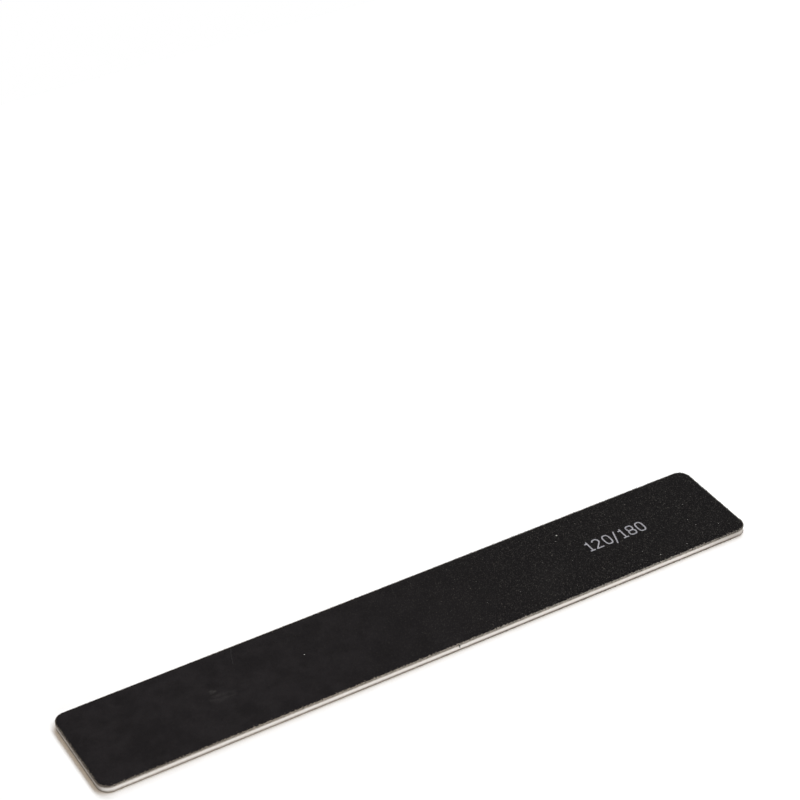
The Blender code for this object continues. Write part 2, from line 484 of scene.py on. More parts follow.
@dataclass(frozen=True)
class GlueFinish(Finish):
    """A clear adhesive film that holds dust where it comes out at the cut."""

    film: Colour = (0.58, 0.52, 0.44)
    dirt: Colour = (0.30, 0.26, 0.22)

    def make(self) -> Material:
        """Builds the finish from its two colours."""
        tree = FinishTree(self.name)
        grime = tree.cloud(0.7 * MM, detail=5.0, roughness=0.65)
        colour = tree.blend(grime.rise(0.5, 0.72), self.film, self.dirt)
        return tree.surface(colour, grime * 0.35 + 0.12, gloss=0.5)


@dataclass(frozen=True)
class InkFinish(Finish):
    """Screen-printed ink that thins out over the grit."""

    ink: Colour = (0.398, 0.394, 0.430)
    thin: Colour = (0.115, 0.114, 0.122)

    def make(self) -> Material:
        """Builds the finish from its two colours."""
        tree = FinishTree(self.name)
        speckle = tree.cloud(0.26 * MM, roughness=0.6)
        drift = tree.cloud(2.2 * MM, detail=2.0)
        share = (speckle.rise(0.42, 0.62) * 0.85 + drift.rise(0.5, 0.8) * 0.3).at_most(1.0)
        colour = tree.blend(share, self.ink, self.thin)
        return tree.surface(colour, speckle * 0.3 + 0.45, gloss=0.35, normal=tree.bumps(speckle, 0.01 * MM))


@dataclass(frozen=True)
class FluffFinish(Finish):
    """Fibres, lint and dust: a soft matt colour with darker spots."""

    light: Colour
    dark: Colour

    def make(self) -> Material:
        """Builds the finish from its two colours."""
        tree = FinishTree(self.name)
        share = tree.cloud(0.22 * MM).rise(0.35, 0.7)
        return tree.surface(tree.blend(share, self.light, self.dark), share * 0.15 + 0.8, gloss=0.2)


@dataclass(frozen=True)
class BoardOutline:
    """The board's rounded outline, the zone where its outer sheets roll down, and the die's faults."""

    half_length: float
    half_width: float
    corner_radius: float
    roll_width: float = 1.0 * MM
    waviness: float = 0.03 * MM
    wave_length: float = 14 * MM
    wave_seed: int = 3
    tip_place: Span = (89.0 * MM, -10.8 * MM)
    tip_reach: float = 0.22 * MM
    tip_width: float = 0.45 * MM
    nick_place: Span = (89.0 * MM, 5.5 * MM)
    nick_depth: float = 0.35 * MM
    nick_width: float = 0.35 * MM

    def blank(self, step: float) -> Shape:
        """Makes one flat face with this outline.

        Args:
            step: The length of the short edges that its rim is cut into.

        Returns:
            A bmesh with that face at z = 0.
        """
        shape = bmesh.new()
        bmesh.ops.create_grid(shape, x_segments=1, y_segments=1, size=1.0)
        size = Vector((self.half_length, self.half_width, 1.0))
        bmesh.ops.scale(shape, vec=size, verts=shape.verts)
        bmesh.ops.bevel(
            shape,
            geom=shape.verts[:],
            offset=self.corner_radius,
            offset_type="OFFSET",
            segments=round(self.corner_radius * math.pi / 2 / step),
            profile=0.5,
            affect="VERTICES",
            material=-1,
        )
        lengths = {round(edge.calc_length(), 5) for edge in shape.edges}
        for length in sorted(length for length in lengths if length > 1 * MM):
            sides = [edge for edge in shape.edges if abs(edge.calc_length() - length) < 0.1 * MM]
            bmesh.ops.subdivide_edges(shape, edges=sides, cuts=round(length / step) - 1)
        return shape

    def add_rings(self, shape: Shape, faces: list[bmesh.types.BMFace], rings: int) -> None:
        """Cuts rings into one large face where the outer sheets roll down.

        Args:
            shape: The mesh that holds the face.
            faces: The face, alone in a list.
            rings: How many rings.
        """
        width = self.roll_width / rings
        for _ in range(rings):
            bmesh.ops.inset_region(
                shape, faces=faces, thickness=width, use_even_offset=True, use_boundary=True
            )

    def _past_centres(self, points: Array) -> tuple[Array, Array]:
        """How far each point lies outside the rectangle that joins the corners' centres.

        Args:
            points: Places as (n, 3).

        Returns:
            The offsets as (n, 2), and their lengths.
        """
        reach = np.array([self.half_length, self.half_width]) - self.corner_radius
        offset = points[:, :2] - points[:, :2].clip(-reach, reach)
        return offset, np.hypot(offset[:, 0], offset[:, 1])

    def rounded(self, points: Array) -> Array:
        """Draws a sharp-cornered board's points in to the round corners.

        Args:
            points: Places as (n, 3).

        Returns:
            The moved places.
        """
        offset, length = self._past_centres(points)
        square = np.abs(offset).max(axis=1)
        share = np.divide(square, length, out=np.ones_like(length), where=length > 0)
        moved = points.copy()
        moved[:, :2] += offset * (share - 1.0)[:, None]
        return moved

    def inside(self, points: Array) -> Array:
        """How far each point lies inside the outline.

        Args:
            points: Places as (n, 3).

        Returns:
            Lengths, 0 on the outline.
        """
        length = self._past_centres(points)[1]
        half = np.array([self.half_length, self.half_width])
        straight = (half - np.abs(points[:, :2])).min(axis=1)
        return np.where(length > 0, self.corner_radius - length, straight)

    def outward(self, points: Array) -> Array:
        """The outline's outward direction at each point of its rim, as (n, 3)."""
        offset, length = self._past_centres(points)
        return np.column_stack([offset / np.maximum(length, 1e-9)[:, None], np.zeros(len(points))])

    def roll(self, points: Array) -> Array:
        """How far the outer sheets have rolled over, from 0 inside to 1 at the cut."""
        return np.clip(1.0 - self.inside(points) / self.roll_width, 0.0, 1.0) ** 2

    def rim_places(self, count: int, rng: np.random.Generator) -> Array:
        """Random places on the outline.

        Args:
            count: How many places.
            rng: The source of random numbers.

        Returns:
            Places as (n, 3), at z = 0.
        """
        length, width = 2 * self.half_length, 2 * self.half_width
        run = rng.uniform(0.0, 2 * (length + width), count)
        stops = np.cumsum([0.0, length, width, length, width])
        xs = np.interp(run, stops, [-0.5, 0.5, 0.5, -0.5, -0.5]) * length
        ys = np.interp(run, stops, [-0.5, -0.5, 0.5, 0.5, -0.5]) * width
        return self.rounded(np.column_stack([xs, ys, np.zeros(count)]))

    def wander(self, points: Array) -> Array:
        """How far the die has strayed at each point of the rim."""
        return self.waviness * lumps(points * (1.0, 1.0, 0.0), self.wave_length, self.wave_seed)

    def damage(self, points: Array) -> Array:
        """How far a torn tip stands out, or a nick goes in, on a coated sheet.

        Args:
            points: Places on the cut as (n, 3).

        Returns:
            Lengths, positive outwards.
        """
        tip = np.hypot(*(points[:, :2] - self.tip_place).T) / self.tip_width
        nick = np.hypot(*(points[:, :2] - self.nick_place).T) / self.nick_width
        return self.tip_reach * np.exp(-(tip**2)) - self.nick_depth * np.exp(-(nick**2))


def lumps(points: Array, size: float | Sequence[float], seed: int) -> Array:
    """Smooth noise of about -1 to 1, with lumps of one length or of one for each axis."""
    scaled = points / np.asarray(size) + seed * NOISE_SHIFT
    return np.array([noise.noise(place) for place in scaled.tolist()])


def bubbles(points: Array, size: float, seed: int) -> Array:
    """How deep each point lies in a cut foam cell.

    Args:
        points: Places as (n, 3).
        size: The width of a cell.
        seed: A number that shifts the pattern.

    Returns:
        Values from 0 on a cell's wall to 1 in its middle.
    """
    scaled = points / size + seed * NOISE_SHIFT
    found = [noise.voronoi(place)[0] for place in scaled.tolist()]
    gaps = np.array([distances[1] - distances[0] for distances in found])
    return np.clip(gaps / 0.45, 0.0, 1.0) ** 0.7


def vectors_of(items: bpy.types.bpy_prop_collection, name: str) -> Array:
    """Reads a vector of each of a mesh's points or faces.

    Args:
        items: The mesh's points or faces.
        name: What to read, such as "co" or "normal".

    Returns:
        The vectors as (n, 3).
    """
    values = np.empty(len(items) * 3, np.float32)
    items.foreach_get(name, values)
    return values.reshape(-1, 3).astype(float)


def points_of(mesh: Mesh) -> Array:
    """A mesh's points as (n, 3)."""
    return vectors_of(mesh.vertices, "co")


def move_points(mesh: Mesh, points: Array) -> None:
    """Puts a mesh's points at new places."""
    mesh.vertices.foreach_set("co", points.astype(np.float32).ravel())
    mesh.update()


def keep_off_table(mesh: Mesh) -> Mesh:
    """Lifts the points of a mesh that reach the table just clear of it.

    Args:
        mesh: The mesh to change.

    Returns:
        The same mesh.
    """
    points = points_of(mesh)
    points[:, 2] = np.maximum(points[:, 2], TABLE_GAP)
    move_points(mesh, points)
    return mesh


def keep_value(mesh: Mesh, name: str, values: Array) -> None:
    """Keeps one value for each point of a mesh, for its finish to read."""
    kept = mesh.attributes.new(name, "FLOAT", "POINT")
    kept.data.foreach_set("value", values.astype(np.float32))


def mesh_from(shape: Shape, name: str) -> Mesh:
    """Turns a finished bmesh into a mesh and frees it.

    Args:
        shape: The bmesh.
        name: The mesh's name.

    Returns:
        The mesh.
    """
    mesh = bpy.data.meshes.new(name)
    shape.to_mesh(mesh)
    shape.free()
    return mesh


def of_kind(geometry: Sequence[Any], kind: type) -> list[Any]:
    """The points, edges or faces among what an operator has made."""
    return [item for item in geometry if isinstance(item, kind)]


def strand(sides: int, foot: float, tip: float, length: float, joints: int) -> Shape:
    """Makes an upright tapered strand around the origin.

    Args:
        sides: How many sides it has.
        foot: Its radius at the lower end.
        tip: Its radius at the upper end.
        length: Its length.
        joints: How many rings of points it has between its ends.

    Returns:
        The strand.
    """
    shape = bmesh.new()
    bmesh.ops.create_cone(shape, cap_ends=True, segments=sides, radius1=foot, radius2=tip, depth=length)
    long_edges = [e for e in shape.edges if abs(e.verts[0].co.z - e.verts[1].co.z) > length / 2]
    bmesh.ops.subdivide_edges(shape, edges=long_edges, cuts=joints)
    return shape


@dataclass(frozen=True)
class Dressing:
    """What a piece wears: its finish, its slot, and the solid it stands for, if any."""

    finish: Finish
    slot: str
    node: str = ""
    smooth: bool = False

    def put_on(self, mesh: Mesh) -> Piece:
        """Puts a mesh in the scene as a piece that rides on the board.

        Args:
            mesh: The mesh, in place and with the piece's name.

        Returns:
            The piece.
        """
        material = bpy.data.materials.get(self.finish.name) or self.finish.make()
        mesh.materials.clear()
        mesh.materials.append(material)
        mesh.polygons.foreach_set("use_smooth", [self.smooth] * len(mesh.polygons))
        piece = bpy.data.objects.new(mesh.name, mesh)
        bpy.context.scene.collection.objects.link(piece)
        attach(piece, BODY)
        if self.node:
            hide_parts(self.node)
        log.info("%s: %d faces", piece.name, len(mesh.polygons))
        return piece


@dataclass(frozen=True)
class BoardPiece:
    """A piece of the dressed board: its name and what it wears."""

    name: str
    wear: Dressing

    def build(self) -> Mesh:
        """Makes the piece's mesh, in its place."""
        raise NotImplementedError

    def make(self) -> Piece:
        """Builds the piece and puts it in the scene with its finish."""
        return self.wear.put_on(self.build())


class CutLook(Enum):
    """What a sheet's cut edge looks like close up."""

    CELLS = "foam cells that the die has opened"
    SCORES = "upright scratches in stiff plastic"
    FIBRES = "frayed paper"
    BEAD = "glue that has crept out"
    CHIPS = "grains broken off a coat"


@dataclass(frozen=True)
class CutEdge:
    """The fine relief of a sheet's cut edge, and how finely it is meshed."""

    look: CutLook
    step: float
    rows: int
    depth: float
    seed: int

    def relief(self, points: Array, share: Array) -> Array:
        """How far the cut stands out at each point.

        Args:
            points: Places on the cut as (n, 3).
            share: How far up the sheet's thickness each lies, from 0 to 1.

        Returns:
            Lengths, positive outwards.
        """
        seed = self.seed
        match self.look:
            case CutLook.CELLS:
                fine = 0.3 * lumps(points, 0.6 * MM, seed) - bubbles(points, 0.16 * MM, seed)
            case CutLook.SCORES:
                fine = lumps(points, (0.22 * MM, 0.22 * MM, 3 * MM), seed) + 0.5 * share - 0.4
            case CutLook.FIBRES:
                fine = lumps(points, (0.5 * MM, 0.5 * MM, 0.07 * MM), seed)
                fine += 0.6 * lumps(points, 0.13 * MM, seed + 1)
            case CutLook.BEAD:
                fine = lumps(points, 0.9 * MM, seed) + 4.0 * share * (1.0 - share) - 1.2
            case CutLook.CHIPS:
                fine = lumps(points, 0.22 * MM, seed) + 0.5 * lumps(points, 0.9 * MM, seed + 1)
        return self.depth * fine


@dataclass(frozen=True)
class Sheet(BoardPiece):
    """One bonded sheet of the board, with its cut edge modelled."""

    outline: BoardOutline
    edge: CutEdge
    roll_low: float = 0.0
    roll_high: float = 0.0
    torn: bool = False
    rings: int = 4

    def build(self) -> Mesh:
        """Makes the sheet one unit thick, with rings where its faces roll, then shapes it."""
        shape = self.outline.blank(self.edge.step)
        top = shape.faces[:]
        rise = Vector((0.0, 0.0, 1.0 / self.edge.rows))
        for row in range(self.edge.rows):
            made = bmesh.ops.extrude_face_region(shape, geom=top, use_keep_orig=row == 0)["geom"]
            bmesh.ops.translate(shape, vec=rise, verts=of_kind(made, bmesh.types.BMVert))
            top = of_kind(made, bmesh.types.BMFace)
        bmesh.ops.recalc_face_normals(shape, faces=shape.faces[:])
        for up, roll in ((-1, self.roll_low), (1, self.roll_high)):
            if roll:
                flat = [face for face in shape.faces if face.normal.z * up > 0.8]
                self.outline.add_rings(shape, flat, self.rings)
        mesh = mesh_from(shape, self.name)
        points = points_of(mesh)
        share = points[:, 2].copy()
        points[:, 2] = self._heights(share, self.outline.roll(points))
        rim, fine = self._shape_cut(points, share)
        move_points(mesh, points)
        # How deep each point lies in a cut cell, which the foam's painted cell shade reads.
        if self.edge.look is CutLook.CELLS:
            pit = np.zeros(len(points))
            pit[rim] = np.clip(-fine / self.edge.depth, 0.0, 1.0)
            keep_value(mesh, "pit", pit)
        return mesh

    def _heights(self, share: Array, roll: Array) -> Array:
        """The height of each point of the sheet, which fills its solid's own height.

        Args:
            share: How far up the sheet's thickness each lies, from 0 to 1.
            roll: How far the sheet has rolled over there, from 0 to 1.

        Returns:
            Heights in metres.
        """
        lowest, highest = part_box(self.wear.node)
        low = lowest.z - min(self.roll_low, 0.0) + self.roll_low * roll
        high = highest.z - max(self.roll_high, 0.0) + self.roll_high * roll
        return low + (high - low) * share

    def _shape_cut(self, points: Array, share: Array) -> tuple[Array, Array]:
        """Moves the points of the cut outwards by its relief and by the die's wander.

        Args:
            points: The sheet's points, which it changes.
            share: How far up the sheet's thickness each lies, from 0 to 1.

        Returns:
            Which points are on the cut, and the fine relief of those.
        """
        rim = self.outline.inside(points) < ON_RIM
        fine = self.edge.relief(points[rim], share[rim])
        reach = fine + self.outline.wander(points[rim])
        if self.torn:
            reach += self.outline.damage(points[rim])
        points[rim] += self.outline.outward(points[rim]) * reach[:, None]
        return rim, fine


class Side(Enum):
    """Which face of the board a coat is on, as the sign of its outward Z."""

    COARSE = 1
    FINE = -1


@dataclass(frozen=True, kw_only=True)
class GritCoat(Sheet):
    """The coat of resin and grains on one face, meshed finely enough to carry its relief."""

    side: Side
    sunk: float
    roughness: float
    clump: float
    seed: int
    clump_size: float = 0.75 * MM
    cell: float = 0.24 * MM
    sway: float = 0.3

    def build(self) -> Mesh:
        """Makes the coat, rolls its rim, and gives its face and its cut their relief."""
        mesh = self._blank()
        points = points_of(mesh)
        share = points[:, 2].copy()
        roll = self.outline.roll(points)
        up = self.side.value
        points[:, 2] = self._heights(share if up > 0 else 1.0 - share, roll)
        rim, _ = self._shape_cut(points, share)
        face = share > 1.0 - 1e-6
        points[face, 2] += up * self._relief(points[face], roll[face])
        rng = np.random.default_rng(self.seed)
        sway = rng.uniform(-self.sway, self.sway, (len(points), 2)) * self.cell
        points[face & ~rim, :2] += sway[face & ~rim]
        move_points(mesh, points)
        keep_value(mesh, "rim", roll)
        return mesh

    def _blank(self) -> Mesh:
        """Makes the coat one unit thick: a fine grid for its face, a cut edge and a plain back."""
        shape = bmesh.new()
        size = Vector((2 * self.outline.half_length, 2 * self.outline.half_width, 1.0))
        columns, rows = round(size.x / self.cell), round(size.y / self.cell)
        bmesh.ops.create_grid(shape, x_segments=columns, y_segments=rows, size=0.5)
        bmesh.ops.scale(shape, vec=size, verts=shape.verts)
        bmesh.ops.translate(shape, vec=Vector((0.0, 0.0, 1.0)), verts=shape.verts)
        grid = mesh_from(shape, self.name)
        move_points(grid, self.outline.rounded(points_of(grid)))
        shape = bmesh.new()
        shape.from_mesh(grid)
        bpy.data.meshes.remove(grid)
        rim = [edge for edge in shape.edges if edge.is_boundary]
        drop = Vector((0.0, 0.0, -1.0 / self.edge.rows))
        for _ in range(self.edge.rows):
            made = bmesh.ops.extrude_edge_only(shape, edges=rim)["geom"]
            bmesh.ops.translate(shape, vec=drop, verts=of_kind(made, bmesh.types.BMVert))
            rim = [edge for edge in of_kind(made, bmesh.types.BMEdge) if edge.is_boundary]
        back = bmesh.ops.contextual_create(shape, geom=rim)["faces"]
        bmesh.ops.recalc_face_normals(shape, faces=shape.faces[:])
        self.outline.add_rings(shape, back, self.rings)
        if self.side is Side.FINE:
            bmesh.ops.reverse_faces(shape, faces=shape.faces[:])
        return mesh_from(shape, self.name)

    def _relief(self, points: Array, roll: Array) -> Array:
        """The height of the grains and clumps over the coat's face, mostly below zero.

        Args:
            points: Places on the face as (n, 3).
            roll: How far the coat has rolled over there, from 0 to 1.

        Returns:
            Lengths, positive outwards.
        """
        rng = np.random.default_rng(self.seed + 1)
        grains = self.roughness * rng.normal(0.0, 1.0, len(points)).clip(-2.0, 2.0)
        clumps = self.clump * lumps(points, self.clump_size, self.seed)
        return (grains + clumps) * (1.0 - 0.5 * roll) - self.sunk


class GrainShape(Enum):
    """The shapes that crushed abrasive breaks into: sides, foot and tip radius, height and a seed."""

    SHARD = (3, 0.6, 0.0, 1.1, 35)
    BLOCK = (4, 0.62, 0.36, 0.8, 29)

    def build(self) -> Mesh:
        """Makes the grain about one unit across, with its broken foot near z = 0."""
        sides, foot, tip, height, seed = self.value
        shape = bmesh.new()
        bmesh.ops.create_cone(shape, cap_ends=True, segments=sides, radius1=foot, radius2=tip, depth=height)
        rng = np.random.default_rng(seed)
        for vertex in shape.verts:
            bmesh.ops.translate(shape, vec=Vector(rng.uniform(-0.12, 0.12, 3)), verts=[vertex])
        bmesh.ops.translate(shape, vec=Vector((0.0, 0.0, 0.15)), verts=shape.verts)
        return mesh_from(shape, self.name.lower())


@dataclass(frozen=True)
class Scatter:
    """Where the copies of small shapes lie: places, directions and sizes."""

    places: Array
    upwards: Array
    sizes: Array
    seed: int

    def frames(self) -> Array:
        """A turned frame for each copy, as (n, 3, 3), whose last column points upwards."""
        rng = np.random.default_rng(self.seed)
        up = self.upwards / np.linalg.norm(self.upwards, axis=1, keepdims=True)
        across = np.cross(up, rng.normal(size=up.shape))
        across /= np.linalg.norm(across, axis=1, keepdims=True)
        return np.stack([across, np.cross(up, across), up], axis=2)

    def spread(self, name: str, shapes: Sequence[Mesh], stretch: float) -> Mesh:
        """Copies the shapes to every place, taking them in turn.

        Args:
            name: The name of the mesh.
            shapes: The shapes to copy.
            stretch: How unlike the copies are along each axis, as a share.

        Returns:
            One mesh, whose value "tone" is random for each copy.
        """
        rng = np.random.default_rng(self.seed + 1)
        frames = self.frames()
        together = bmesh.new()
        moved, tones = [], []
        for turn, shape in enumerate(shapes):
            chosen = np.arange(turn, len(self.places), len(shapes))
            for _ in chosen:
                together.from_mesh(shape)
            scale = self.sizes[chosen, None] * rng.uniform(1 - stretch, 1 + stretch, (len(chosen), 3))
            local = points_of(shape)[None] * scale[:, None, :]
            turned = np.einsum("nij,nkj->nki", frames[chosen], local)
            moved.append((turned + self.places[chosen, None, :]).reshape(-1, 3))
            tones.append(np.repeat(rng.uniform(0.0, 1.0, len(chosen)), local.shape[1]))
        mesh = mesh_from(together, name)
        move_points(mesh, np.concatenate(moved))
        keep_value(mesh, "tone", np.concatenate(tones))
        return mesh


@dataclass(frozen=True)
class GrainLayer(BoardPiece):
    """Single grains that stand out of a coat."""

    outline: BoardOutline
    coat: Mesh
    side: Side
    shapes: tuple[GrainShape, ...]
    count: int
    size: float
    limit: float
    seed: int
    size_spread: float = 0.25
    tilt: float = 0.45
    rim_gap: float = 0.12 * MM

    def build(self) -> Mesh:
        """Sits the grains on random faces of the coat, the larger ones where it is less used."""
        rng = np.random.default_rng(self.seed)
        centres = vectors_of(self.coat.polygons, "center")
        normals = vectors_of(self.coat.polygons, "normal")
        up = self.side.value
        outer = (normals[:, 2] * up > 0.5) & (self.outline.inside(centres) > self.rim_gap)
        chosen = rng.choice(np.flatnonzero(outer), self.count, replace=False)
        sizes = self.size * np.exp(rng.normal(0.0, self.size_spread, self.count))
        sizes *= 0.6 + 0.4 * fresh_share(centres[chosen])
        tilt = rng.normal(0.0, self.tilt, (self.count, 3))
        scatter = Scatter(centres[chosen], normals[chosen] + tilt, sizes, self.seed)
        mesh = scatter.spread(self.name, [shape.build() for shape in self.shapes], 0.3)
        points = points_of(mesh)
        points[:, 2] = up * np.minimum(up * points[:, 2], up * self.limit)
        move_points(mesh, points)
        return mesh


@dataclass(frozen=True)
class LipGrains(BoardPiece):
    """Grains and crumbs of resin that the die has dragged down over a cut edge."""

    outline: BoardOutline
    count: int
    lip: float
    reach: float
    seed: int
    size: float = 0.13 * MM
    farthest: float = 2.2

    def build(self) -> Mesh:
        """Scatters the crumbs round the rim, thinning out away from the lip."""
        rng = np.random.default_rng(self.seed)
        places = self.outline.rim_places(self.count, rng)
        fall = np.abs(rng.normal(0.0, 1.0, self.count)).clip(0.0, self.farthest) / self.farthest
        places[:, 2] = self.lip + self.reach * fall
        outward = self.outline.outward(places)
        places += outward * rng.uniform(-0.02, 0.03, (self.count, 1)) * MM
        sizes = self.size * np.exp(rng.normal(0.0, 0.4, self.count)).clip(0.3, 1.7)
        sizes *= 0.45 + 0.4 * fresh_share(places)
        scatter = Scatter(places, outward + rng.normal(0.0, 0.6, (self.count, 3)), sizes, self.seed)
        return keep_off_table(scatter.spread(self.name, [shape.build() for shape in GrainShape], 0.4))


@dataclass(frozen=True)
class PaperFray(BoardPiece):
    """Paper fibres that stand out of a cut edge."""

    outline: BoardOutline
    count: int
    length: float
    low: float
    high: float
    seed: int
    thickness: float = 0.011 * MM
    root: float = 0.05 * MM
    bends: tuple[float, ...] = (0.25, -0.18, 0.4)

    def build(self) -> Mesh:
        """Scatters curved, tapering fibres round the rim."""
        rng = np.random.default_rng(self.seed)
        places = self.outline.rim_places(self.count, rng)
        places[:, 2] = rng.uniform(self.low, self.high, self.count)
        outward = self.outline.outward(places)
        places -= outward * self.root
        along = outward + rng.normal(0.0, 0.9, (self.count, 3)) + Vector((0.0, 0.0, -0.3))
        along += outward * np.maximum(0.0, 0.3 - (along * outward).sum(axis=1))[:, None]
        sizes = self.length * np.exp(rng.normal(0.0, 0.45, self.count)).clip(0.3, 2.2)
        sizes *= 0.5 + 0.5 * fresh_share(places)
        fibres = [self._fibre(bend) for bend in self.bends]
        return keep_off_table(Scatter(places, along, sizes, self.seed).spread(self.name, fibres, 0.25))

    def _fibre(self, bend: float) -> Mesh:
        """Makes a bent fibre one unit long.

        Args:
            bend: How far its tip has moved sideways.

        Returns:
            The fibre, with its root at the origin.
        """
        radius = self.thickness / self.length
        shape = strand(3, radius, radius * 0.4, 1.0, 3)
        bmesh.ops.translate(shape, vec=Vector((0.0, 0.0, 0.5)), verts=shape.verts)
        for vertex in shape.verts:
            height = vertex.co.z
            sag = Vector((bend * height**2, -0.5 * bend * height**3, 0.0))
            bmesh.ops.translate(shape, vec=sag, verts=[vertex])
        return mesh_from(shape, "fibre")


@dataclass(frozen=True)
class PrintedMark(BoardPiece):
    """One printed figure, draped over the grit with thin spots and soft edges."""

    coat_top: float
    slice_width: float = 0.12 * MM
    film: float = 0.03 * MM
    sag: float = 0.035 * MM
    sag_size: float = 0.2 * MM
    bleed: float = 0.035 * MM
    bleed_size: float = 0.25 * MM
    seed: int = 21

    def build(self) -> Mesh:
        """Slices the figure finely and lets it follow the grains."""
        shape = bmesh.new()
        shape.from_mesh(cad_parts[self.wear.node].data)
        bmesh.ops.remove_doubles(shape, verts=shape.verts, dist=1e-3 * MM)
        lowest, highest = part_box(self.wear.node)
        for axis in (0, 1):
            normal = Vector((1.0 - axis, axis, 0.0))
            for slice_number in range(1, round((highest[axis] - lowest[axis]) / self.slice_width)):
                place = normal * (lowest[axis] + slice_number * self.slice_width)
                whole = shape.verts[:] + shape.edges[:] + shape.faces[:]
                bmesh.ops.bisect_plane(shape, geom=whole, plane_co=place, plane_no=normal)
        mesh = mesh_from(shape, self.name)
        points = points_of(mesh)
        top = points[:, 2] > (lowest.z + highest.z) / 2
        flat = points * (1.0, 1.0, 0.0)
        drape = self.sag * lumps(flat, self.sag_size, self.seed) + self.bleed * 0.3
        points[:, 2] = self.coat_top + drape + np.where(top, self.film, -self.film)
        for axis in (0, 1):
            points[:, axis] += self.bleed * lumps(flat, self.bleed_size, self.seed + 1 + axis)
        move_points(mesh, points)
        return mesh


@dataclass(frozen=True)
class HandlingMarks:
    """Specks, a hair of lint and a torn spur, each where the photograph shows it.

    Each speck has its x, its y and its radius in millimetres.
    """

    face: float
    lip: float
    specks: tuple[Point, ...] = (
        (46.1, 8.2, 0.195),
        (-29.1, 2.0, 0.105),
        (44.0, -2.2, 0.045),
        (63.7, -11.8, 0.09),
        (71.8, -11.7, 0.08),
        (78.1, -6.7, 0.065),
        (77.6, -3.9, 0.065),
        (80.2, 1.8, 0.06),
        (83.2, -9.3, 0.075),
        (44.6, 6.3, 0.055),
        (26.6, -5.5, 0.045),
        (17.6, -4.7, 0.045),
        (60.6, -8.4, 0.05),
    )
    speck_seat: float = 0.25
    speck_seed: int = 31
    hair_ends: tuple[Span, Span] = ((-43.2 * MM, 13.0 * MM), (-44.9 * MM, 8.0 * MM))
    hair_radius: float = 0.02 * MM
    hair_sway: float = 0.35 * MM
    hair_lift: float = 0.02 * MM
    hair_seed: int = 41
    spur_place: Span = (4.0 * MM, -14.0 * MM)
    spur_length: float = 0.8 * MM
    spur_width: float = 0.2 * MM
    spur_stand: float = 0.12 * MM
    spur_turn: Span = (math.radians(172), math.radians(4))

    def build_specks(self) -> Mesh:
        """Crumbs of pale dust that lie between the grains."""
        together = bmesh.new()
        rng = np.random.default_rng(self.speck_seed)
        for x, y, radius in np.array(self.specks) * MM:
            crumb = bmesh.ops.create_icosphere(together, subdivisions=2, radius=radius)["verts"]
            for vertex in crumb:
                push = 1.0 + rng.uniform(-0.25, 0.25)
                bmesh.ops.scale(together, vec=Vector((push, push, push * 0.7)), verts=[vertex])
            seat = Vector((x, y, self.face - radius * self.speck_seat))
            bmesh.ops.translate(together, vec=seat, verts=crumb)
        return mesh_from(together, "dust_specks")

    def build_hair(self) -> Mesh:
        """A short hair of lint that lies across the grains."""
        (x0, y0), (x1, y1) = self.hair_ends
        radius = self.hair_radius
        shape = strand(6, radius, radius * 0.6, math.hypot(x1 - x0, y1 - y0), 23)
        turn = Vector((x1 - x0, y1 - y0, 0.0)).to_track_quat("Z", "Y").to_matrix().to_4x4()
        middle = Vector(((x0 + x1) / 2, (y0 + y1) / 2, self.face + radius))
        bmesh.ops.transform(shape, matrix=Matrix.Translation(middle) @ turn, verts=shape.verts)
        mesh = mesh_from(shape, "lint_hair")
        points = points_of(mesh)
        along = points * (0.0, 1.0, 0.0)
        points[:, 0] += self.hair_sway * lumps(along, 2.4 * MM, self.hair_seed)
        points[:, 2] += self.hair_lift * lumps(along, 1.1 * MM, self.hair_seed + 1)
        move_points(mesh, points)
        return mesh

    def build_spur(self) -> Mesh:
        """A sliver of coated paper that hangs over the near edge."""
        x, y = self.spur_place
        shape = strand(5, self.spur_width, self.spur_width * 0.45, self.spur_length, 4)
        flatten = Matrix.Diagonal((1.0, 0.4, 1.0, 1.0))
        tip_over, lean = self.spur_turn
        hang = Matrix.Rotation(tip_over, 4, "X") @ Matrix.Rotation(lean, 4, "Y")
        seat = Matrix.Translation((x, y - self.spur_stand, self.lip - self.spur_length * 0.75))
        bmesh.ops.transform(shape, matrix=seat @ hang @ flatten, verts=shape.verts)
        return mesh_from(shape, "torn_spur")


@dataclass(frozen=True)
class SoftBox:
    """An oblong soft lamp that shines at the board, with its length along Y if upright, or along Z."""

    name: str
    place: Point
    length: float
    width: float
    power: float
    upright: bool = True

    def build(self) -> None:
        """Hangs the lamp."""
        light = bpy.data.lights.new(self.name, "AREA")
        light.shape = "RECTANGLE"
        light.size = self.width
        light.size_y = self.length
        light.energy = self.power
        lamp = bpy.data.objects.new(self.name, light)
        back = Vector(self.place).normalized()
        along = Vector((0.0, 1.0, 0.0)) if self.upright else Vector((0.0, 0.0, 1.0))
        across = along.cross(back).normalized()
        turn = Matrix((across, back.cross(across), back)).transposed().to_4x4()
        lamp.matrix_world = Matrix.Translation(self.place) @ turn
        bpy.context.scene.collection.objects.link(lamp)


